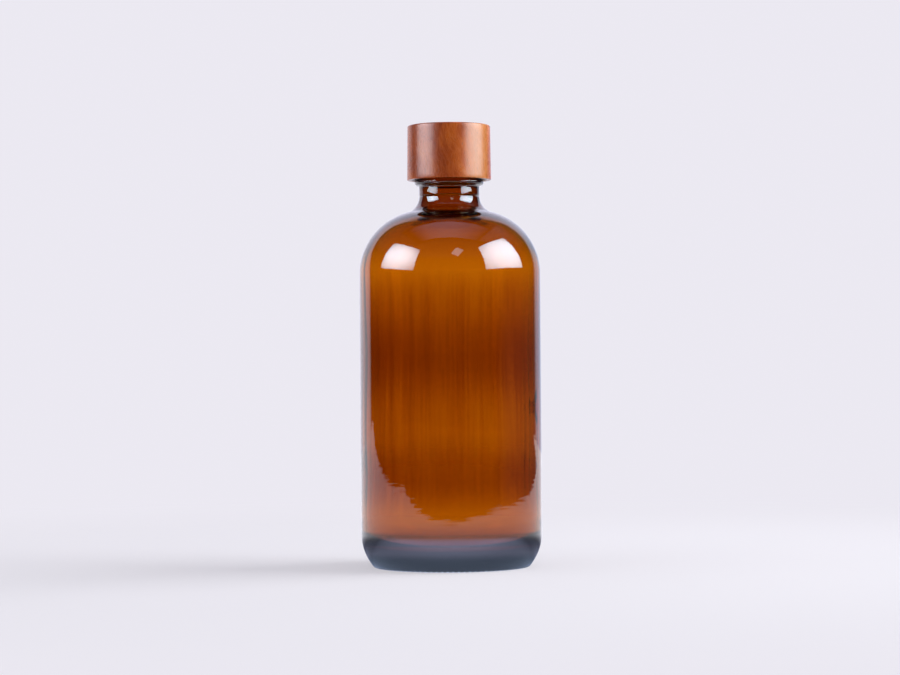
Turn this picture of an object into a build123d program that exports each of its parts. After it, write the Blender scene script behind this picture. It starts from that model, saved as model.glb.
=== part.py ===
"""Amber glass splash bottle for aftershave, with a turned wooden screw cap. Millimetres, +Z up.

The origin is on the bottle's axis, in the plane that its bearing ring stands on. The bottle is a
16 oz Boston round with a 28-400 neck finish: a round body, a full round shoulder, a short neck,
a transfer bead and one turn of right-hand thread under a flat rim. An orifice reducer is pushed
into its mouth. The cap is a wooden shell, turned from one block, with a moulded threaded insert
glued in its bore. A three-layer liner disc sits in the insert and seals on the reducer's flange.
"""

from build123d import *
from math import hypot, sqrt
import os

# ---- Driving dimensions --------------------------------------------------------------------

# Glass body
body_radius = 37.5
rim_z = 170.0
heel_radius = 22.0  # the long outer curve from the body down to the base
heel_top_z = 14.3
shoulder_radius = 26.4
shoulder_z = 121.2  # where the straight body ends
neck_radius = 12.5  # also the root of the thread
neck_fillet = 7.0
bore_radius = 9.3
wall = 2.3
shoulder_wall = 3.2
bore_end_z = 161.0  # below the reducer the bore steps in to the throat
throat_top_z = 160.2
throat_radius = 8.0
throat_flare = 8.0
inner_heel_radius = 7.0

# Glass base
ring_inner_radius = 29.4
ring_edge_fillet = 1.1
push_up = 4.6  # height of the hollow under the base
base_thickness = 5.2
base_inner_drop = 1.8  # the inside of the base is this much lower at the wall than at the axis
knurl_count = 88
knurl_radius = 0.45
knurl_length = 1.7
knurl_at_radius = 32.0
knurl_rise_angle = 28.0

# Neck finish
bead_radius = 1.4
bead_below_rim = 10.8
bead_inset = 0.4  # how far the bead's centre stands out from the neck
bead_fillet = 0.6
rim_outer_fillet = 0.9
rim_inner_fillet = 0.7

# Screw thread: six threads to the inch
thread_pitch = 25.4 / 6
glass_thread_radius = 1.2
glass_thread_turns = 1.1
glass_thread_below_rim = 1.2  # from the rim to the top edge of the thread
insert_thread_radius = 0.95
insert_thread_centre = 13.9
insert_thread_turns = 1.29
insert_thread_lead = 0.45  # turns by which it starts above the glass thread
thread_clearance = 0.12

# Orifice reducer
flange_radius = 11.6
flange_thickness = 0.7
flange_edge = 0.25
plug_radius = 9.15
plug_wall = 0.85
plug_depth = 8.8
plug_lead_in = 0.3
plug_rib_bite = 0.05
plug_rib_radius = 0.4
plug_rib_depths = (2.4, 4.6, 6.8)
dish_depth = 1.2
dish_floor = 0.9
orifice_radius = 3.175
spout_wall = 0.8
spout_lip = 0.8
spout_drop = 4.6

# Liner: foam between two films
film_thickness = 0.15
foam_thickness = 1.2
liner_radius = 13.7

# Threaded insert
insert_inner_radius = 13.95
insert_outer_radius = 15.0
insert_plate = 1.2
insert_edge = 0.6
insert_lead_in = 0.3
insert_foot_z = 161.2
grip_rib_count = 24
grip_rib_height = 0.25
grip_rib_width = 0.8
retaining_ridge = 0.4  # how far the ridge under the liner stands in from the wall
retaining_ridge_gap = 0.15

# Adhesive and wooden shell
adhesive_thickness = 0.3
adhesive_radius = 14.0
cap_bottom_z = 160.2
cap_top_z = 182.9
cap_bottom_radius = 17.45
cap_top_radius = 17.2
cap_bore_radius = 15.3
cap_top_edge = 0.7
cap_bottom_edge = 0.35
cap_bore_chamfer = 0.4

# ---- Dimensions worked out from them ---------------------------------------------------------

heel_foot_radius = body_radius - heel_radius + sqrt(heel_radius**2 - heel_top_z**2)
shoulder_centre = (body_radius - shoulder_radius, shoulder_z)
shoulder_meets_neck_z = shoulder_z + sqrt(shoulder_radius**2 - (neck_radius - shoulder_centre[0]) ** 2)
inner_radius = body_radius - wall
inner_shoulder_radius = shoulder_radius - shoulder_wall
inner_shoulder_centre = (inner_radius - inner_shoulder_radius, shoulder_z)
throat_end_z = shoulder_z + sqrt(
    inner_shoulder_radius**2 - (inner_shoulder_centre[0] - throat_radius) ** 2
)
base_inside_z = push_up + base_thickness
bead_z = rim_z - bead_below_rim
bead_half_height = sqrt(bead_radius**2 - bead_inset**2)
glass_thread_top_z = rim_z - glass_thread_below_rim - glass_thread_radius
thread_centre_gap = glass_thread_radius + insert_thread_radius + thread_clearance
insert_thread_drop = sqrt(thread_centre_gap**2 - (insert_thread_centre - neck_radius) ** 2)
insert_thread_top_z = glass_thread_top_z - insert_thread_drop + insert_thread_lead * thread_pitch
flange_top_z = rim_z + flange_thickness
liner_top_z = flange_top_z + foam_thickness + 2 * film_thickness
insert_top_z = liner_top_z + insert_plate
cap_bore_end_z = insert_top_z + adhesive_thickness


def dome_radius(height, width):
    """Radius of the shallow arc, centred on the axis, that falls by height over width."""
    return (width**2 + height**2) / (2 * height)


def nearest_vertex(sketch, x, y):
    """The sketch's vertex nearest to that point of its plane."""
    return sketch.vertices().sort_by(lambda vertex: hypot(vertex.X - x, vertex.Y - y))[0]


def thread_tube(centre_radius, tube_radius, top_z, turns, start_angle):
    """A right-hand thread as a round ridge with rounded ends, wound down from top_z."""
    height = turns * thread_pitch
    bottom = Plane.XY.offset(top_z - height).rotated((0, 0, start_angle - 360 * turns))
    path = bottom.from_local_coords(Helix(thread_pitch, height, centre_radius))
    with BuildPart() as tube:
        with BuildSketch(Plane(origin=path @ 0, z_dir=path % 0)):
            Circle(tube_radius)
        sweep(path=path, is_frenet=True)
        with Locations(path @ 0, path @ 1):
            Sphere(tube_radius)
    return tube.part


# ---- Glass bottle ----------------------------------------------------------------------------

dome = dome_radius(push_up, ring_inner_radius)
inner_dome = dome_radius(base_inner_drop, inner_radius)
glass_thread = thread_tube(
    neck_radius, glass_thread_radius, glass_thread_top_z, glass_thread_turns, 0
)

with BuildPart() as glass_bottle:
    with BuildSketch(Plane.XZ) as glass_section:
        with BuildLine():
            ThreePointArc(
                (0, push_up),
                (ring_inner_radius / 2, push_up - dome + sqrt(dome**2 - (ring_inner_radius / 2) ** 2)),
                (ring_inner_radius, 0),
            )
            Line((ring_inner_radius, 0), (heel_foot_radius, 0))
            RadiusArc((heel_foot_radius, 0), (body_radius, heel_top_z), -heel_radius)
            Line((body_radius, heel_top_z), (body_radius, shoulder_z))
            RadiusArc((body_radius, shoulder_z), (neck_radius, shoulder_meets_neck_z), -shoulder_radius)
            Line((neck_radius, shoulder_meets_neck_z), (neck_radius, bead_z - bead_half_height))
            ThreePointArc(
                (neck_radius, bead_z - bead_half_height),
                (neck_radius + bead_inset + bead_radius, bead_z),
                (neck_radius, bead_z + bead_half_height),
            )
            Line((neck_radius, bead_z + bead_half_height), (neck_radius, rim_z))
            Line((neck_radius, rim_z), (bore_radius, rim_z))
            Line((bore_radius, rim_z), (bore_radius, bore_end_z))
            Line((bore_radius, bore_end_z), (throat_radius, throat_top_z))
            Line((throat_radius, throat_top_z), (throat_radius, throat_end_z))
            ThreePointArc(
                (throat_radius, throat_end_z),
                (
                    inner_shoulder_centre[0] + inner_shoulder_radius / sqrt(2),
                    shoulder_z + inner_shoulder_radius / sqrt(2),
                ),
                (inner_radius, shoulder_z),
            )
            Line((inner_radius, shoulder_z), (inner_radius, base_inside_z - base_inner_drop))
            ThreePointArc(
                (inner_radius, base_inside_z - base_inner_drop),
                (inner_radius / 2, base_inside_z - inner_dome + sqrt(inner_dome**2 - (inner_radius / 2) ** 2)),
                (0, base_inside_z),
            )
            Line((0, base_inside_z), (0, push_up))
        make_face()
        for radius, *place in (
            (neck_fillet, neck_radius, shoulder_meets_neck_z),
            (throat_flare, throat_radius, throat_end_z),
            (inner_heel_radius, inner_radius, base_inside_z - base_inner_drop),
            (ring_edge_fillet, heel_foot_radius, 0),
            (bead_fillet, neck_radius, bead_z - bead_half_height),
            (bead_fillet, neck_radius, bead_z + bead_half_height),
            (rim_outer_fillet, neck_radius, rim_z),
            (rim_inner_fillet, bore_radius, rim_z),
        ):
            fillet(nearest_vertex(glass_section, *place), radius)
    revolve(axis=Axis.Z)
    add(glass_thread)
    with PolarLocations(knurl_at_radius, knurl_count):
        Cylinder(
            knurl_radius,
            knurl_length,
            rotation=(0, 90 - knurl_rise_angle, 0),
            mode=Mode.SUBTRACT,
        )

# ---- Orifice reducer -------------------------------------------------------------------------

dish_floor_z = flange_top_z - dish_depth
plate_bottom_z = dish_floor_z - dish_floor
plug_inner_radius = plug_radius - plug_wall

with BuildPart() as orifice_reducer:
    with BuildSketch(Plane.XZ):
        with BuildLine():
            Polyline(
                (orifice_radius, plate_bottom_z - spout_drop),
                (orifice_radius + spout_wall, plate_bottom_z - spout_drop),
                (orifice_radius + spout_wall, plate_bottom_z),
                (plug_inner_radius, plate_bottom_z),
                (plug_inner_radius, rim_z - plug_depth),
                (plug_radius - plug_lead_in, rim_z - plug_depth),
                (plug_radius, rim_z - plug_depth + 3 * plug_lead_in),
                (plug_radius, rim_z),
                (flange_radius, rim_z),
                (flange_radius, flange_top_z),
                (plug_inner_radius, flange_top_z),
                (plug_inner_radius, dish_floor_z),
                (orifice_radius + spout_wall, dish_floor_z),
                (orifice_radius + spout_wall, dish_floor_z + spout_lip),
                (orifice_radius, dish_floor_z + spout_lip),
                close=True,
            )
        make_face()
        rib_centre = bore_radius + plug_rib_bite - plug_rib_radius
        with Locations(*[(rib_centre, rim_z - depth) for depth in plug_rib_depths]):
            Circle(plug_rib_radius)
    revolve(axis=Axis.Z)
    fillet(orifice_reducer.edges().group_by(Axis.Z)[-1].sort_by(SortBy.RADIUS)[-1], flange_edge)

# ---- Liner: back film, foam core and face film -------------------------------------------------


def liner_layer(bottom_z, thickness):
    """One flat disc of the liner, standing on bottom_z."""
    with BuildPart() as layer:
        with BuildSketch(Plane.XY.offset(bottom_z)):
            Circle(liner_radius)
        extrude(amount=thickness)
    return layer


liner_face_film = liner_layer(flange_top_z, film_thickness)
liner_foam_core = liner_layer(flange_top_z + film_thickness, foam_thickness)
liner_back_film = liner_layer(flange_top_z + film_thickness + foam_thickness, film_thickness)

# ---- Threaded insert -------------------------------------------------------------------------

ridge_z = flange_top_z - retaining_ridge_gap - retaining_ridge
grip_rib_span = insert_top_z - insert_foot_z - 2 * insert_plate
insert_thread = thread_tube(
    insert_thread_centre,
    insert_thread_radius,
    insert_thread_top_z,
    insert_thread_turns,
    360 * insert_thread_lead,
)

with BuildPart() as threaded_insert:
    with BuildSketch(Plane.XZ):
        with BuildLine():
            Polyline(
                (0, liner_top_z),
                (insert_inner_radius, liner_top_z),
                (insert_inner_radius, ridge_z + retaining_ridge),
                (insert_inner_radius - retaining_ridge, ridge_z),
                (insert_inner_radius, ridge_z - retaining_ridge),
                (insert_inner_radius, insert_foot_z),
                (insert_outer_radius, insert_foot_z),
                (insert_outer_radius, insert_top_z),
                (0, insert_top_z),
                close=True,
            )
        make_face()
    revolve(axis=Axis.Z)
    fillet(threaded_insert.edges().group_by(Axis.Z)[-1], insert_edge)
    chamfer(threaded_insert.edges().group_by(Axis.Z)[0].sort_by(SortBy.RADIUS)[0], insert_lead_in)
    with BuildSketch(Plane.XY.offset(insert_foot_z + insert_plate)):
        with PolarLocations(insert_outer_radius, grip_rib_count):
            Rectangle(2 * grip_rib_height, grip_rib_width)
    extrude(amount=grip_rib_span)
    add(insert_thread)

# ---- Adhesive --------------------------------------------------------------------------------

with BuildPart() as adhesive_layer:
    with BuildSketch(Plane.XY.offset(insert_top_z)):
        Circle(adhesive_radius)
    extrude(amount=adhesive_thickness)

# ---- Wooden shell ----------------------------------------------------------------------------

with BuildPart() as cap_shell:
    with BuildSketch(Plane.XZ):
        with BuildLine():
            Polyline(
                (0, cap_bore_end_z),
                (cap_bore_radius, cap_bore_end_z),
                (cap_bore_radius, cap_bottom_z),
                (cap_bottom_radius, cap_bottom_z),
                (cap_top_radius, cap_top_z),
                (0, cap_top_z),
                close=True,
            )
        make_face()
    revolve(axis=Axis.Z)
    fillet(cap_shell.edges().group_by(Axis.Z)[-1], cap_top_edge)
    bottom_edges = cap_shell.edges().group_by(Axis.Z)[0].sort_by(SortBy.RADIUS)
    fillet(bottom_edges[-1], cap_bottom_edge)
    chamfer(bottom_edges[0], cap_bore_chamfer)

# ---- Export ----------------------------------------------------------------------------------

pieces = {
    "glass_bottle": glass_bottle,
    "orifice_reducer": orifice_reducer,
    "liner_face_film": liner_face_film,
    "liner_foam_core": liner_foam_core,
    "liner_back_film": liner_back_film,
    "threaded_insert": threaded_insert,
    "adhesive_layer": adhesive_layer,
    "cap_shell": cap_shell,
}

os.makedirs("parts", exist_ok=True)
for name, piece in pieces.items():
    piece.part.label = name
    export_step(piece.part, f"parts/{name}.step")
    print(f"{name}: {len(piece.part.solids())} solid, {piece.part.volume / 1000:.2f} cm3")
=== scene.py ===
"""Looks for the amber splash bottle with its turned wooden screw cap.

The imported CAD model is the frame: metres, +Z up, origin on the bottle's axis in the plane it stands
on. Profiles are written in millimetres and turned into metres where a mesh is made. The glass and
the wooden shell are rebuilt here as fine turned meshes, and the CAD pieces inside the cap keep their
shapes and get their materials.
"""

from math import asin, atan2, cos, degrees, exp, hypot, pi, radians, sin, sqrt, tan

import bpy
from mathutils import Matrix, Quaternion, Vector, noise


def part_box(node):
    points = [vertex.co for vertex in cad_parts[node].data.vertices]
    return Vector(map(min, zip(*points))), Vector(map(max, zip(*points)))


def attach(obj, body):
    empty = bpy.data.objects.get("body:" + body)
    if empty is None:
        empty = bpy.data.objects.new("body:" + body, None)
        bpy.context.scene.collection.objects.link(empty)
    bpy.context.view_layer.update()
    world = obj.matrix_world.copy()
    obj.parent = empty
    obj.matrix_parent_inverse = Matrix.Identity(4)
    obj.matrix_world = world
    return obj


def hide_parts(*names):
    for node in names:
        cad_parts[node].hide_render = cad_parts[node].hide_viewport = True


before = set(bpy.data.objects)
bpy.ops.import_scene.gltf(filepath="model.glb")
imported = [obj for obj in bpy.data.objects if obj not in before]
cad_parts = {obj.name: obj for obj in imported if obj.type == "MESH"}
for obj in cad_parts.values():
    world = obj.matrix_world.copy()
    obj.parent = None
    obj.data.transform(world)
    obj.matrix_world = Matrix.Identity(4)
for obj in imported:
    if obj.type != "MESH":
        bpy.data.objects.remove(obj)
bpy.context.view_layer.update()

MM = 0.001

glass_low, glass_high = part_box("glass_bottle")
cap_low, cap_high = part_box("cap_shell")
insert_low, insert_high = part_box("threaded_insert")

# ---- Sizes, in millimetres -------------------------------------------------------------------

BODY_R = glass_high.x / MM
RIM_Z = glass_high.z / MM
SHOULDER_Z = 121.2
SHOULDER_R = 26.4
HEEL_R = 22.0
HEEL_TOP_Z = 14.3
WALL = 2.3
SHOULDER_WALL = 3.2
NECK_R = 12.5
NECK_FILLET_R = 7.0
BORE_R = 9.38  # clears the ribs of the orifice reducer
BORE_END_Z = 161.0
THROAT_TOP_Z = 160.2
THROAT_R = 8.0  # the bore narrows to this below the reducer
THROAT_FLARE_R = 8.0
SEAM_Z = 154.0  # a fine ridge where the mould of the neck met the mould of the body
SEAM_RISE = 0.018
SEAM_HALF_HEIGHT = 0.5
INNER_HEEL_R = 7.0
RING_INNER_R = 29.4
RING_EDGE_R = 1.1
PUSH_UP = 4.6
BASE_INSIDE_Z = 9.8
BASE_DROP = 1.8

BEAD_Z = RIM_Z - 10.8
BEAD_R = 1.4
BEAD_INSET = 0.4
BEAD_FLAT = 0.3  # straight neck left beside the bead
RIM_OUTER_R = 0.9
RIM_INNER_R = 0.7

THREAD_PITCH = 25.4 / 6
THREAD_HEIGHT = 1.2
THREAD_HALF_WIDTH = 1.3
THREAD_TURNS = 1.1
THREAD_TOP_Z = RIM_Z - 2.4

KNURLS = 88
KNURL_DEPTH = 0.28
KNURL_R = 32.0
KNURL_REACH = 1.3
KNURL_TOP_Z = 1.4

CAP_TAPER = 0.25  # the cap's top is this much smaller in radius than its foot
CAP_BORE_R = 15.3
CAP_BORE_GAP = 0.3  # room for the adhesive above the insert, and the radius of the bore's corner
CAP_BORE_CHAMFER = 0.45
CAP_FOOT_EDGE_R = 0.35
CAP_TOP_EDGE_R = 0.7

PALE = (0.835, 0.815, 0.885, 1)  # colour of the surroundings, which the floor runs out into

# Stage, in metres: the lamps, the floor, and the table top as the glass mirrors it, a glow with
# painted light and shade
LAMP_DISTANCE = 0.83
LAMP_AIM_Z = 0.12
LAMP_TINT = (0.70, 0.88, 1.02)
FLOOR = [(-6, -6), (6, -6), (6, 6), (-6, 6)]
# Outline of the mirrored table top, which glows with painted light and shade
PAINTED_LIGHT_TABLE = [
    (-0.63, -0.36),
    (0.22, -0.36),
    (0.41, -0.26),
    (0.54, 0.0),
    (0.56, 0.3),
    (0.7, 0.8),
    (1.6, 1.3),
    (-2.6, 1.3),
    (-1.38, 0.5),
    (-0.77, -0.1),
]

SEGMENTS = 6 * KNURLS

# Bands of thicker and thinner wall: height, half-height and change in thickness
SETTLED_BANDS = ((87.0, 15.5, 1.45), (38.0, 8.5, 1.05), (124.0, 11.0, -0.85), (22.0, 5.0, -0.3))
BANDS_FADE_IN = (12, 20)
# Finer unevenness round the wall: thickness, fineness round the bottle, height it is drawn out
# over, and two shifts that keep the four from looking alike
UNEVENNESS = (
    (0.35, 1.2, 50.0, 5.0, 0.0),
    (0.22, 5.0, 210.0, 0.0, 3.1),
    (0.10, 13.0, 260.0, 0.0, 9.7),
    (0.03, 34.0, 300.0, 0.0, 1.3),
)
UNEVEN_FADE_IN = (14, 34)
UNEVEN_FADE_OUT = (112, 134)
# A thick spot on the right of the wall: angle from +X in degrees, height, half-width in degrees,
# half-height and thickness
THICK_SPOT = (-15.5, 66.0, 2.2, 3.1, 2.4)


# ---- Helpers ---------------------------------------------------------------------------------


def arc(centre_r, centre_z, radius, start, end, steps):
    """Points (r, z) on an arc, angles in degrees from the outward direction, both ends included."""
    turns = [radians(start + (end - start) * i / steps) for i in range(steps + 1)]
    return [(centre_r + radius * cos(a), centre_z + radius * sin(a)) for a in turns]


def line(start, end, steps):
    """Points (r, z) on a straight stretch, without its first point."""
    return [
        tuple(s + (e - s) * i / steps for s, e in zip(start, end)) for i in range(1, steps + 1)
    ]


def smooth(low, high, x):
    """0 below low, 1 above high, and a smooth step between."""
    t = min(1.0, max(0.0, (x - low) / (high - low)))
    return t * t * (3 - 2 * t)


def hump(centre, half_width, x):
    """1 at the centre, falling smoothly to 0 at half_width on either side."""
    return 1 - smooth(0, half_width, abs(x - centre))


def swelling(centre, half_width, x):
    """1 at the centre, fading on either side without an end."""
    return exp(-(((x - centre) / half_width) ** 2))


def turned_mesh(name, profile, segments, shape=None):
    """A closed turned piece. profile is a list of (r, z, side) in mm from the axis back to the axis;
    shape(r, z, side, angle) gives the radius and height of a point at that angle."""
    verts, faces, rows = [], [], []
    for r, z, side in profile:
        if r < 1e-6:
            rows.append([len(verts)])
            verts.append((0.0, 0.0, z * MM))
            continue
        rows.append(list(range(len(verts), len(verts) + segments)))
        for i in range(segments):
            angle = 2 * pi * i / segments
            rr, zz = shape(r, z, side, angle) if shape else (r, z)
            verts.append((rr * cos(angle) * MM, rr * sin(angle) * MM, zz * MM))
    for low, high in zip(rows, rows[1:]):
        for i in range(segments):
            j = (i + 1) % segments
            if len(low) == 1:
                faces.append((low[0], high[j], high[i]))
            elif len(high) == 1:
                faces.append((low[i], low[j], high[0]))
            else:
                faces.append((low[i], low[j], high[j], high[i]))
    mesh = bpy.data.meshes.new(name)
    mesh.from_pydata(verts, [], faces)
    mesh.validate()
    for polygon in mesh.polygons:
        polygon.use_smooth = True
    piece = bpy.data.objects.new(name, mesh)
    bpy.context.scene.collection.objects.link(piece)
    return piece


def set_material(piece, material):
    """Gives the piece this material and no other."""
    piece.data.materials.clear()
    piece.data.materials.append(material)


class Nodes:
    """A short way to write a material's or a world's node tree."""

    def __init__(self, owner):
        owner.use_nodes = True
        self.tree = owner.node_tree
        self.tree.nodes.clear()

    def add(self, kind, inputs=None, **settings):
        """Adds a node. An input is either linked to a socket or given a value."""
        node = self.tree.nodes.new(kind)
        for key, value in settings.items():
            setattr(node, key, value)
        for key, value in (inputs or {}).items():
            if isinstance(value, bpy.types.NodeSocket):
                self.tree.links.new(value, node.inputs[key])
            else:
                node.inputs[key].default_value = value
        return node

    def math(self, operation, a, b=None, clamp=False):
        """Works on one number or two. clamp keeps the result between 0 and 1."""
        inputs = {0: a} if b is None else {0: a, 1: b}
        return self.add("ShaderNodeMath", inputs, operation=operation, use_clamp=clamp).outputs[0]

    def mix(self, factor, a, b, blend="MIX"):
        """Mixes two colours."""
        node = self.add("ShaderNodeMix", data_type="RGBA", blend_type=blend)
        for index, value in ((0, factor), (6, a), (7, b)):
            if isinstance(value, bpy.types.NodeSocket):
                self.tree.links.new(value, node.inputs[index])
            else:
                node.inputs[index].default_value = value
        return node.outputs[2]

    def ramp(self, value, stops):
        """A colour ramp. stops is a list of (position, colour)."""
        node = self.add("ShaderNodeValToRGB", {0: value})
        elements = node.color_ramp.elements
        while len(elements) < len(stops):
            elements.new(0.5)
        for element, (position, colour) in zip(elements, stops):
            element.position = position
            element.color = colour
        return node.outputs[0]

    def step(self, low, high, value):
        """0 below low, 1 above high, smooth between."""
        node = self.add(
            "ShaderNodeMapRange",
            {"Value": value, "From Min": low, "From Max": high},
            interpolation_type="SMOOTHSTEP",
        )
        return node.outputs[0]

    def band(self, value, start, full, fade, end):
        """1 between full and fade, falling smoothly to 0 at start and at end."""
        return self.math("MULTIPLY", self.step(start, full, value), self.step(end, fade, value))


def grey(value):
    """A colour without hue."""
    return (value, value, value, 1)


# ---- The glass: outline and unevenness ---------------------------------------------------------


def glass_outline():
    """The outside from the middle of the base up to the rim, then the inside back down."""
    neck_c = NECK_R + NECK_FILLET_R
    shoulder_c = BODY_R - SHOULDER_R
    neck_fillet_z = SHOULDER_Z + sqrt((SHOULDER_R + NECK_FILLET_R) ** 2 - (neck_c - shoulder_c) ** 2)
    lean = degrees(atan2(neck_fillet_z - SHOULDER_Z, neck_c - shoulder_c))

    heel_c = BODY_R - HEEL_R
    edge_dz = HEEL_TOP_Z - RING_EDGE_R
    edge_c = heel_c + sqrt((HEEL_R - RING_EDGE_R) ** 2 - edge_dz**2)
    heel_start = -degrees(atan2(edge_dz, edge_c - heel_c))

    outside = [(0.0, PUSH_UP)]
    dome_r = (RING_INNER_R**2 + PUSH_UP**2) / (2 * PUSH_UP)
    for i in range(1, 15):
        r = RING_INNER_R * i / 14
        outside.append((r, PUSH_UP - dome_r + sqrt(dome_r**2 - r**2)))
    outside += line(outside[-1], (edge_c, 0.0), 6)
    outside += arc(edge_c, RING_EDGE_R, RING_EDGE_R, -90, heel_start, 6)[1:]
    outside += arc(heel_c, HEEL_TOP_Z, HEEL_R, heel_start, 0, 28)[1:]
    outside += line(outside[-1], (BODY_R, SHOULDER_Z), 44)
    outside += arc(shoulder_c, SHOULDER_Z, SHOULDER_R, 0, lean, 56)[1:]
    outside += arc(neck_c, neck_fillet_z, NECK_FILLET_R, 180 + lean, 180, 14)[1:]
    bead_half = sqrt(BEAD_R**2 - BEAD_INSET**2)
    outside += line(outside[-1], (NECK_R, SEAM_Z - SEAM_HALF_HEIGHT), 3)
    outside.append((NECK_R + SEAM_RISE, SEAM_Z))
    above_seam = (NECK_R, SEAM_Z + SEAM_HALF_HEIGHT)
    outside += line(above_seam, (NECK_R, BEAD_Z - bead_half - BEAD_FLAT), 4)
    bead_open = degrees(asin(bead_half / BEAD_R))
    outside += arc(NECK_R + BEAD_INSET, BEAD_Z, BEAD_R, -bead_open, bead_open, 16)
    outside += line((NECK_R, BEAD_Z + bead_half + BEAD_FLAT), (NECK_R, RIM_Z - RIM_OUTER_R), 44)
    outside += arc(NECK_R - RIM_OUTER_R, RIM_Z - RIM_OUTER_R, RIM_OUTER_R, 0, 90, 6)[1:]

    inside = arc(BORE_R + RIM_INNER_R, RIM_Z - RIM_INNER_R, RIM_INNER_R, 90, 180, 6)
    inner_r = BODY_R - WALL
    inner_shoulder_r = SHOULDER_R - SHOULDER_WALL
    inner_shoulder_c = inner_r - inner_shoulder_r
    flare_c = THROAT_R + THROAT_FLARE_R
    flare_z = SHOULDER_Z + sqrt(
        (inner_shoulder_r + THROAT_FLARE_R) ** 2 - (flare_c - inner_shoulder_c) ** 2
    )
    flare_lean = degrees(atan2(flare_z - SHOULDER_Z, flare_c - inner_shoulder_c))
    inside += line(inside[-1], (BORE_R, BORE_END_Z), 8)
    inside += line(inside[-1], (THROAT_R, THROAT_TOP_Z), 3)
    inside += line(inside[-1], (THROAT_R, flare_z), 10)
    inside += arc(flare_c, flare_z, THROAT_FLARE_R, 180, 180 + flare_lean, 16)[1:]
    inside += arc(inner_shoulder_c, SHOULDER_Z, inner_shoulder_r, flare_lean, 0, 48)[1:]
    floor_r = (inner_r**2 + BASE_DROP**2) / (2 * BASE_DROP)
    floor_z = BASE_INSIDE_Z - floor_r
    heel_in_c = inner_r - INNER_HEEL_R
    heel_in_z = floor_z + sqrt((floor_r + INNER_HEEL_R) ** 2 - heel_in_c**2)
    foot = -degrees(atan2(heel_in_z - floor_z, heel_in_c))
    inside += line(inside[-1], (inner_r, heel_in_z), 60)
    inside += arc(heel_in_c, heel_in_z, INNER_HEEL_R, 0, foot, 24)[1:]
    last_r = inside[-1][0]
    for i in range(11, -1, -1):
        r = last_r * i / 12
        inside.append((r, floor_z + sqrt(floor_r**2 - r**2)))
    return [(r, z, "out") for r, z in outside] + [(r, z, "in") for r, z in inside]


def thread_ridge(z, angle):
    """How far the thread stands out of the neck. It is one right-hand turn and a bit."""
    best = 0.0
    first = (-angle % (2 * pi)) / (2 * pi)
    for turn in (first - 1, first, first + 1):
        along = min(max(turn, 0.0), THREAD_TURNS)
        beyond = (turn - along) * 2 * pi * NECK_R
        away = hypot(beyond, z - (THREAD_TOP_Z - along * THREAD_PITCH))
        if away < THREAD_HALF_WIDTH:
            best = max(best, THREAD_HEIGHT * cos(pi / 2 * away / THREAD_HALF_WIDTH) ** 0.8)
    return best


def wall_swell(z, angle):
    """Extra thickness of the blown wall: broad bands where the glass settled, and drawn streaks."""
    x, y = cos(angle), sin(angle)
    bands = sum(amount * swelling(height, reach, z) for height, reach, amount in SETTLED_BANDS)
    spot_angle, spot_z, spot_width, spot_height, spot_rise = THICK_SPOT
    turn = degrees(atan2(sin(angle - radians(spot_angle)), cos(angle - radians(spot_angle))))
    spot = spot_rise * swelling(0, spot_width, turn) * swelling(spot_z, spot_height, z)
    uneven = sum(
        amount * noise.noise(Vector((x * fineness + shift_x, y * fineness, z / drawn + shift_z)))
        for amount, fineness, drawn, shift_x, shift_z in UNEVENNESS
    )
    uneven = uneven * smooth(*UNEVEN_FADE_IN, z) * (1 - smooth(*UNEVEN_FADE_OUT, z))
    return bands * smooth(*BANDS_FADE_IN, z) + spot + uneven


def glass_shape(r, z, side, angle):
    """Radius and height of a point of the glass: the outline with thread, knurls and swellings."""
    if side == "in":
        return r - wall_swell(z, angle), z
    if z > BEAD_Z + BEAD_R:
        return r + thread_ridge(z, angle), z
    rise = KNURL_DEPTH * hump(KNURL_R, KNURL_REACH, r) * hump(0, KNURL_TOP_Z, z)
    if rise > 0 and r > RING_INNER_R:
        return r, z + rise * max(0.0, sin(KNURLS * angle)) ** 0.5
    return r, z


# ---- The wooden shell: outline -----------------------------------------------------------------


def wood_outline():
    """The turned shell, from the middle of its bore's end out to the skirt and up over the top."""
    low_z, top_z = cap_low.z / MM, cap_high.z / MM
    low_r = cap_high.x / MM
    top_r = low_r - CAP_TAPER
    bore_end = insert_high.z / MM + CAP_BORE_GAP
    corner_r = CAP_BORE_R - CAP_BORE_GAP
    foot_r = low_r - CAP_FOOT_EDGE_R
    points = [(0.0, bore_end)]
    points += line(points[-1], (corner_r, bore_end), 6)
    points += arc(corner_r, bore_end - CAP_BORE_GAP, CAP_BORE_GAP, 90, 0, 4)[1:]
    points += line(points[-1], (CAP_BORE_R, low_z + CAP_BORE_CHAMFER), 12)
    points += line(points[-1], (CAP_BORE_R + CAP_BORE_CHAMFER, low_z), 3)
    points += line(points[-1], (foot_r, low_z), 3)
    points += arc(foot_r, low_z + CAP_FOOT_EDGE_R, CAP_FOOT_EDGE_R, -90, 0, 6)[1:]
    points += line(points[-1], (top_r, top_z - CAP_TOP_EDGE_R), 16)
    points += arc(top_r - CAP_TOP_EDGE_R, top_z - CAP_TOP_EDGE_R, CAP_TOP_EDGE_R, 0, 90, 8)[1:]
    points += line(points[-1], (0.0, top_z), 14)
    return [(r, z, "wood") for r, z in points]


# ---- Materials -----------------------------------------------------------------------------------


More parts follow.
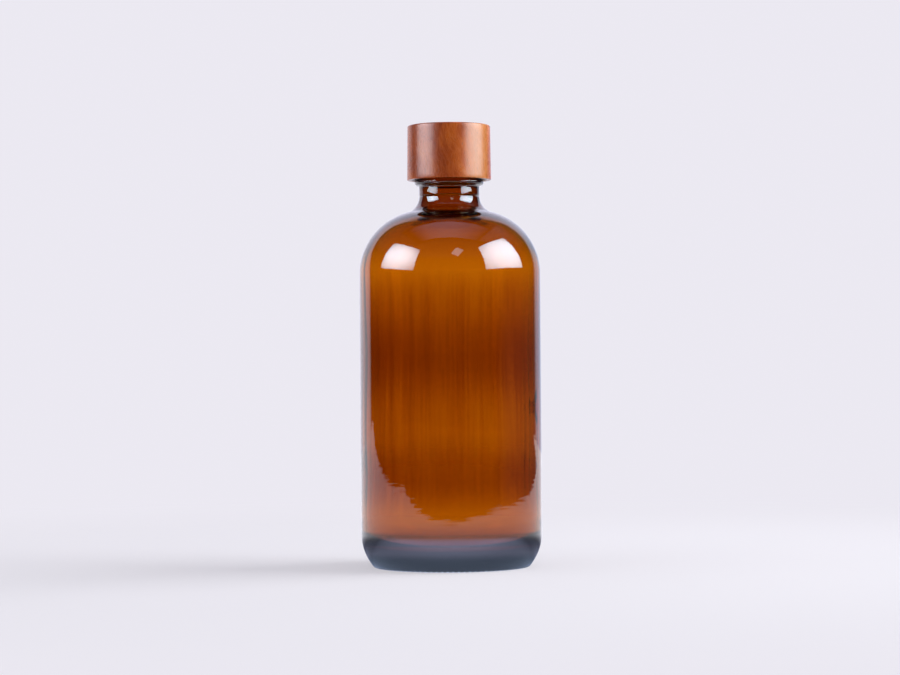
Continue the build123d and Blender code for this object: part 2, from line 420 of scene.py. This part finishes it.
def amber_glass():
    """Clear glass that takes its amber from the depth of glass the light goes through, with a
    faint ripple on its surface and darker cords drawn out along the body."""
    material = bpy.data.materials.new("amber_glass")
    n = Nodes(material)
    place = n.add("ShaderNodeTexCoord").outputs["Object"]
    pressed = n.add("ShaderNodeMapping", {"Vector": place, "Scale": (1, 1, 9)}).outputs[0]
    ripple = n.add(
        "ShaderNodeTexNoise", {"Vector": pressed, "Scale": 75.0, "Detail": 2.0}
    ).outputs["Fac"]
    bump = n.add("ShaderNodeBump", {"Height": ripple, "Strength": 0.08, "Distance": 0.0001})
    drawn = n.add("ShaderNodeMapping", {"Vector": place, "Scale": (1, 1, 0.03)}).outputs[0]
    cords = n.add(
        "ShaderNodeTexNoise", {"Vector": drawn, "Scale": 300.0, "Detail": 3.0, "Roughness": 0.7}
    ).outputs["Fac"]
    height = n.add("ShaderNodeSeparateXYZ", {0: place}).outputs["Z"]
    body = n.band(height, 0.02, 0.04, 0.108, 0.126)  # the cords fade out at heel and shoulder
    cord = n.math("MULTIPLY", n.step(0.44, 0.62, cords), body)
    tint = n.mix(cord, (1.0, 0.60, 0.1, 1), (0.89, 0.48, 0.06, 1))
    surface = n.add(
        "ShaderNodeBsdfPrincipled",
        {
            "Base Color": tint,
            "Roughness": 0.0,
            "IOR": 1.52,
            "Transmission Weight": 1.0,
            "Normal": bump.outputs[0],
        },
    )
    volume = n.add(
        "ShaderNodeVolumeAbsorption", {"Color": (0.811, 0.678, 0.0, 1), "Density": 900.0}
    )
    n.add(
        "ShaderNodeOutputMaterial", {"Surface": surface.outputs[0], "Volume": volume.outputs[0]}
    )
    return material


def satin_hardwood():
    """Oiled reddish-brown wood with fine mottled grain that runs up the cap, leaning a little, and
    painted light: a paler band on the right side, where the right lamp falls."""
    material = bpy.data.materials.new("satin_hardwood")
    n = Nodes(material)
    place = n.add("ShaderNodeTexCoord").outputs["Object"]
    lean = n.add(
        "ShaderNodeMapping",
        {
            "Vector": place,
            "Location": (0.031, 0.012, 0.0),
            "Rotation": (radians(4), radians(8), radians(20)),
        },
    ).outputs[0]
    sway = n.add(
        "ShaderNodeTexNoise", {"Vector": lean, "Scale": 70.0, "Detail": 2.0}
    ).outputs["Color"]
    bent = n.add(
        "ShaderNodeMixRGB", {0: 0.0035, 1: lean, 2: sway}, blend_type="LINEAR_LIGHT"
    ).outputs[0]
    along = n.add("ShaderNodeMapping", {"Vector": bent, "Scale": (1, 1, 0.22)}).outputs[0]
    stretched = n.add("ShaderNodeMapping", {"Vector": bent, "Scale": (1, 1, 0.09)}).outputs[0]
    rings = n.add(
        "ShaderNodeTexWave",
        {"Vector": bent, "Scale": 26.0, "Distortion": 5.0, "Detail": 3.0, "Detail Scale": 2.0},
        wave_type="RINGS",
        rings_direction="Z",
    ).outputs["Fac"]
    mottle = n.add(
        "ShaderNodeTexNoise", {"Vector": along, "Scale": 420.0, "Detail": 4.0, "Roughness": 0.62}
    ).outputs["Fac"]
    fibre = n.add(
        "ShaderNodeTexNoise", {"Vector": stretched, "Scale": 2300.0, "Detail": 3.0, "Roughness": 0.6}
    ).outputs["Fac"]
    tone = n.math("ADD", n.math("MULTIPLY", rings, 0.16), n.math("MULTIPLY", mottle, 0.56))
    tone = n.math("ADD", tone, n.math("MULTIPLY", fibre, 0.28))
    colour = n.ramp(
        tone,
        [
            (0.30, (0.26, 0.036, 0.002, 1)),
            (0.48, (0.38, 0.065, 0.003, 1)),
            (0.60, (0.48, 0.098, 0.006, 1)),
            (0.78, (0.58, 0.15, 0.016, 1)),
        ],
    )
    # Painted light: the side of the cap towards the right lamp is painted paler
    across = n.add("ShaderNodeSeparateXYZ", {0: place}).outputs["X"]
    painted_light_right = n.band(across, 0.004, 0.012, 0.015, 0.017)
    colour = n.mix(n.math("MULTIPLY", painted_light_right, 0.45), colour, (0.68, 0.3, 0.07, 1))
    drawn = n.add("ShaderNodeMapping", {"Vector": bent, "Scale": (1, 1, 0.12)}).outputs[0]
    grain = n.add(
        "ShaderNodeTexNoise", {"Vector": drawn, "Scale": 3400.0, "Detail": 1.0}
    ).outputs["Fac"]
    pore = n.step(0.64, 0.76, grain)
    colour = n.mix(n.math("MULTIPLY", pore, 0.55), colour, (0.07, 0.014, 0.005, 1))
    height = n.math("SUBTRACT", n.math("MULTIPLY", fibre, 0.5), pore)
    bump = n.add(
        "ShaderNodeBump", {"Height": height, "Strength": 0.3, "Distance": 0.00005}
    ).outputs[0]
    rough = n.math("ADD", n.math("MULTIPLY", fibre, 0.16), 0.195)
    surface = n.add(
        "ShaderNodeBsdfPrincipled",
        {"Base Color": colour, "Roughness": rough, "Normal": bump, "IOR": 1.4},
    )
    n.add("ShaderNodeOutputMaterial", {"Surface": surface.outputs[0]})
    return material


def moulded_plastic(name, colour, roughness, grain, subsurface=0.0):
    """Moulded plastic with a fine texture, slightly uneven in tone."""
    material = bpy.data.materials.new(name)
    n = Nodes(material)
    place = n.add("ShaderNodeTexCoord").outputs["Object"]
    cloud = n.add(
        "ShaderNodeTexNoise", {"Vector": place, "Scale": 240.0, "Detail": 3.0}
    ).outputs["Fac"]
    speck = n.add(
        "ShaderNodeTexNoise", {"Vector": place, "Scale": 5200.0, "Detail": 2.0}
    ).outputs["Fac"]
    darker = tuple(0.82 * c for c in colour) + (1,)
    tint = n.mix(n.step(0.35, 0.65, cloud), darker, tuple(colour) + (1,))
    bump = n.add("ShaderNodeBump", {"Height": speck, "Strength": grain, "Distance": 0.00004})
    rough = n.math("ADD", n.math("MULTIPLY", cloud, 0.16), roughness - 0.08)
    surface = n.add(
        "ShaderNodeBsdfPrincipled",
        {
            "Base Color": tint,
            "Roughness": rough,
            "Normal": bump.outputs[0],
            "IOR": 1.49,
            "Subsurface Weight": subsurface,
            "Subsurface Scale": 0.001,
        },
    )
    n.add("ShaderNodeOutputMaterial", {"Surface": surface.outputs[0]})
    return material


# ---- Studio ------------------------------------------------------------------------------------


def level_direction(azimuth):
    """Level unit vector. Azimuth is in degrees from the camera's side towards +X."""
    return Vector((sin(radians(azimuth)), -cos(radians(azimuth)), 0))


def softbox(
    name,
    azimuth,
    low,
    high,
    width,
    radiance,
    seen_by,
    colour=(1, 1, 1),
    falloff=0.0,
    tilt=0.0,
    upright=True,
):
    """A rectangular lamp that stands upright or faces the shoulder. low and high are the elevations
    of its edges and width is its width, all in degrees as the shoulder sees them. seen_by names the
    kind of ray that it reaches, falloff dims it from its middle outwards, and tilt turns it about
    its middle, in degrees."""
    lamp = bpy.data.lights.new(name, "AREA")
    lamp.shape = "RECTANGLE"
    lamp.size = 2 * LAMP_DISTANCE * tan(radians(width / 2))
    lamp.size_y = LAMP_DISTANCE * (tan(radians(high)) - tan(radians(low)))
    lamp.energy = radiance * pi * lamp.size * lamp.size_y
    lamp.color = colour
    holder = bpy.data.objects.new(name, lamp)
    out = level_direction(azimuth)
    middle = LAMP_DISTANCE * (tan(radians(high)) + tan(radians(low))) / 2
    place = out * LAMP_DISTANCE + Vector((0, 0, middle))
    facing = -out if upright else -place
    holder.location = place + Vector((0, 0, LAMP_AIM_Z))
    holder.rotation_mode = "QUATERNION"
    turn = Quaternion((0, 0, 1), radians(tilt))
    holder.rotation_quaternion = facing.to_track_quat("-Z", "Y") @ turn
    holder.visible_camera = False
    holder.visible_diffuse = seen_by == "diffuse"
    holder.visible_glossy = seen_by == "glossy"
    holder.visible_transmission = seen_by == "transmission"
    bpy.context.scene.collection.objects.link(holder)
    if falloff:
        n = Nodes(lamp)
        spot = n.add("ShaderNodeNewGeometry").outputs["Parametric"]
        off = n.add("ShaderNodeVectorMath", {0: spot, 1: (0.5, 0.5, 0)}, operation="DISTANCE")
        drop = n.math("MULTIPLY", n.math("POWER", off.outputs["Value"], 2.0), 4 * falloff)
        glow = n.add("ShaderNodeEmission", {"Strength": n.math("SUBTRACT", 1.0, drop, True)})
        n.add("ShaderNodeOutputLight", {"Surface": glow.outputs[0]})
    return holder


def studio_world():
    """Pale surroundings, darker in front and overhead where light comes through the glass. Mirror
    reflections see the room instead: a white sweep behind the bottle, a dark room in front and a
    grey ceiling panel with dark seams."""
    world = bpy.data.worlds.new("studio")
    bpy.context.scene.world = world
    n = Nodes(world)
    way = n.add("ShaderNodeTexCoord").outputs["Generated"]
    axes = n.add("ShaderNodeSeparateXYZ", {0: way}).outputs
    # Degrees to the right of straight behind the bottle, and degrees above the horizon
    side = n.math("DIVIDE", n.math("ARCTAN2", axes["X"], axes["Y"]), pi / 180)
    rise = n.math("DIVIDE", n.math("ARCSINE", axes["Z"]), pi / 180)

    # The white sweep, which narrows towards the ceiling
    narrowing = n.step(0, 45, rise)
    right_edge = n.math("ADD", side, n.math("MULTIPLY", narrowing, 13.0))
    left_edge = n.math("SUBTRACT", side, n.math("MULTIPLY", narrowing, 25.0))
    sweep = n.math("MULTIPLY", n.step(47, 39, right_edge), n.step(-60, -55, left_edge))

    # Where a direction meets a ceiling one unit up: across to the right, and deep to the back
    up = n.math("MAXIMUM", axes["Z"], 0.05)
    across = n.math("DIVIDE", axes["X"], up)
    deep = n.math("DIVIDE", axes["Y"], up)
    sweep = n.math("MULTIPLY", sweep, n.step(0.5, 0.95, deep))

    # The ceiling: a bright panel, a dimmer one beside it, and grey past the dark frame round them
    panel = n.math(
        "MULTIPLY", n.band(deep, -0.49, -0.47, 0.22, 0.25), n.band(across, -0.69, -0.3, 0.58, 0.6)
    )
    left_dim = n.math("MULTIPLY", n.math("MAXIMUM", n.math("MULTIPLY", across, -1.0), 0.0), 1.25)
    right_dim = n.math("MULTIPLY", n.math("MAXIMUM", across, 0.0), 1.8)
    glow = n.math("SUBTRACT", n.math("SUBTRACT", 1.15, left_dim), right_dim, True)
    beside = n.math(
        "MULTIPLY", n.band(across, 0.61, 0.64, 0.7, 1.6), n.band(deep, -0.5, -0.3, 0.3, 0.9)
    )
    ceiling = n.math("ADD", n.math("MULTIPLY", panel, glow), n.math("MULTIPLY", beside, 0.3))
    framed = n.math(
        "MULTIPLY", n.band(deep, -0.57, -0.54, 0.3, 0.33), n.step(-0.78, -0.75, across)
    )
    past = n.math("SUBTRACT", n.step(0.35, 0.5, axes["Z"]), framed, True)
    ceiling = n.math("ADD", ceiling, n.math("MULTIPLY", past, 0.055))

    # A faint haze low at the right
    haze = n.math("MULTIPLY", n.band(side, 40, 50, 100, 125), n.step(3, 0, rise))
    haze = n.math("MULTIPLY", haze, 0.07)
    room = n.mix(n.math("ADD", ceiling, haze), (0.006, 0.006, 0.007, 1), (0.72, 0.78, 1.0, 1))
    white = n.mix(n.step(-45, 40, side), (1.3, 1.2, 1.32, 1), (0.68, 0.78, 1.06, 1))
    white = n.mix(n.step(8, 22, rise), white, (1.22, 1.18, 1.45, 1))
    reflected = n.mix(sweep, room, white)

    # Which kind of ray sees what
    rays = n.add("ShaderNodeLightPath").outputs
    mirrored = n.math("SUBTRACT", rays["Is Glossy Ray"], rays["Is Transmission Ray"], True)
    ahead = n.step(-0.1, -0.5, axes["Y"])
    overhead = n.math("MULTIPLY", n.step(0.75, 0.95, axes["Z"]), 0.7)
    through = n.mix(n.math("MAXIMUM", ahead, overhead), PALE, (0.12, 0.12, 0.13, 1))
    seen = n.mix(mirrored, through, reflected)
    lit = n.mix(rays["Is Diffuse Ray"], seen, (0.40, 0.395, 0.42, 1))
    background = n.add("ShaderNodeBackground", {"Color": lit, "Strength": 1.0})
    n.add("ShaderNodeOutputWorld", {"Surface": background.outputs[0]})


def flat_top(name, corners, mirrored):
    """A flat stage surface. It is seen either in mirror reflections only, or by all other rays."""
    mesh = bpy.data.meshes.new(name)
    mesh.from_pydata([(x, y, 0) for x, y in corners], [], [range(len(corners))])
    top = bpy.data.objects.new(name, mesh)
    bpy.context.scene.collection.objects.link(top)
    top.visible_glossy = mirrored
    top.visible_camera = not mirrored
    top.visible_diffuse = not mirrored
    top.visible_transmission = not mirrored
    top.visible_shadow = not mirrored
    return top


def distance_out(n):
    """Distance of a point on the table from the bottle's axis."""
    place = n.add("ShaderNodeTexCoord").outputs["Object"]
    return n.add("ShaderNodeVectorMath", {0: place}, operation="LENGTH").outputs["Value"]


def floor_material():
    """Matt white, running out into the pale background so that no edge shows."""
    material = bpy.data.materials.new("floor")
    n = Nodes(material)
    matt = n.add("ShaderNodeBsdfDiffuse", {"Color": (0.86, 0.855, 0.9, 1)})
    far = n.add("ShaderNodeEmission", {"Color": PALE})
    fade = n.math("ADD", n.math("MULTIPLY", n.step(0.1, 0.5, distance_out(n)), 0.45), 0.55)
    blend = n.add("ShaderNodeMixShader", {0: fade, 1: matt.outputs[0], 2: far.outputs[0]})
    n.add("ShaderNodeOutputMaterial", {"Surface": blend.outputs[0]})
    return material


def painted_light_table_material():
    """The lit table as it shows in the glass, a glow with painted light: a painted pool of light
    brightest in front of the bottle, painted shadow behind it and bluish painted shade near its foot.
    """
    material = bpy.data.materials.new("painted_light_table")
    n = Nodes(material)
    place = n.add("ShaderNodeTexCoord").outputs["Object"]
    axes = n.add("ShaderNodeSeparateXYZ", {0: place}).outputs
    out = distance_out(n)
    # Painted shadow: the glow drops off beside and behind the bottle, where the bottle shades the
    # table
    front = n.ramp(
        n.math("SUBTRACT", 0.4, n.math("MULTIPLY", axes["Y"], 5.0)),
        [(0.2, grey(0.06)), (0.4, grey(0.15)), (0.5, grey(0.42)), (0.7, grey(1.0))],
    )
    # Painted shade: a darker, bluish glow round the bottle's foot
    tint = n.mix(n.step(0.037, 0.047, out), (0.34, 0.43, 0.63, 1), (0.62, 0.68, 1.0, 1))
    near = n.mix(1.0, tint, front, "MULTIPLY")
    # Painted pool of light: the glow dims to grey away from the bottle
    tone = n.mix(n.step(0.065, 0.19, out), near, (0.28, 0.28, 0.31, 1))
    glow = n.add("ShaderNodeEmission", {"Color": tone, "Strength": 4.6})
    n.add("ShaderNodeOutputMaterial", {"Surface": glow.outputs[0]})
    return material


def add_camera():
    """A long lens a metre in front of the bottle, a little below half its height."""
    camera = bpy.data.cameras.new("camera")
    camera.lens = 96.5
    camera.sensor_width = 36.0
    camera.clip_start = 0.01
    camera.clip_end = 100.0
    holder = bpy.data.objects.new("camera", camera)
    holder.location = (-0.0002, -1.002, 0.0816)
    holder.rotation_mode = "XYZ"
    holder.rotation_euler = (radians(90 + 0.76), radians(0.42), 0.0)
    bpy.context.scene.collection.objects.link(holder)
    bpy.context.scene.camera = holder
    return holder


# ---- The scene ---------------------------------------------------------------------------------

glass = turned_mesh("amber_bottle", glass_outline(), SEGMENTS, glass_shape)
set_material(glass, amber_glass())
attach(glass, "bottle")
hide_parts("glass_bottle")

wood = turned_mesh("wooden_cap", wood_outline(), 256)
set_material(wood, satin_hardwood())
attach(wood, "cap")
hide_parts("cap_shell")

polyethylene = moulded_plastic("natural_polyethylene", (0.8, 0.8, 0.77), 0.42, 0.15, 0.3)
polypropylene = moulded_plastic("black_polypropylene", (0.014, 0.014, 0.015), 0.4, 0.5)
film = moulded_plastic("liner_film", (0.82, 0.82, 0.8), 0.22, 0.05)
foam = moulded_plastic("liner_foam", (0.86, 0.86, 0.84), 0.75, 0.9)
adhesive = moulded_plastic("cured_adhesive", (0.5, 0.34, 0.12), 0.25, 0.1)
for node, material in (
    ("orifice_reducer", polyethylene),
    ("threaded_insert", polypropylene),
    ("liner_face_film", film),
    ("liner_back_film", film),
    ("liner_foam_core", foam),
    ("adhesive_layer", adhesive),
):
    set_material(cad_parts[node], material)

studio_world()
set_material(flat_top("floor", FLOOR, False), floor_material())
# The mirrored table top glows with painted light and painted shadow
set_material(flat_top("painted_light_table", PAINTED_LIGHT_TABLE, True), painted_light_table_material())
# Name, azimuth, lower and upper edge, width, radiance
softbox("left_highlight", -70, 5.7, 41, 52, 20, "glossy", LAMP_TINT, falloff=0.45, tilt=-4)
softbox("right_highlight", 74, 6.2, 46, 59, 20, "glossy", LAMP_TINT, falloff=0.35, tilt=3)
softbox("small_highlight", 10.6, 31, 39, 16, 3.4, "glossy", LAMP_TINT, tilt=55, upright=False)
softbox("left_glow", -71, -12, 56, 30, 3.0, "transmission", falloff=1.0)
softbox("right_glow", 76, -12, 56, 34, 3.0, "transmission", falloff=1.0)
softbox("left_light", -71, 12, 48, 50, 2.1, "diffuse")
softbox("right_light", 95, 11, 53, 58, 5.7, "diffuse")
add_camera()

scene = bpy.context.scene
scene.view_settings.view_transform = "Standard"
scene.cycles.use_denoising = True
scene.cycles.max_bounces = 24
scene.cycles.transmission_bounces = 20
scene.cycles.glossy_bounces = 10
scene.cycles.caustics_refractive = True
scene.cycles.caustics_reflective = False
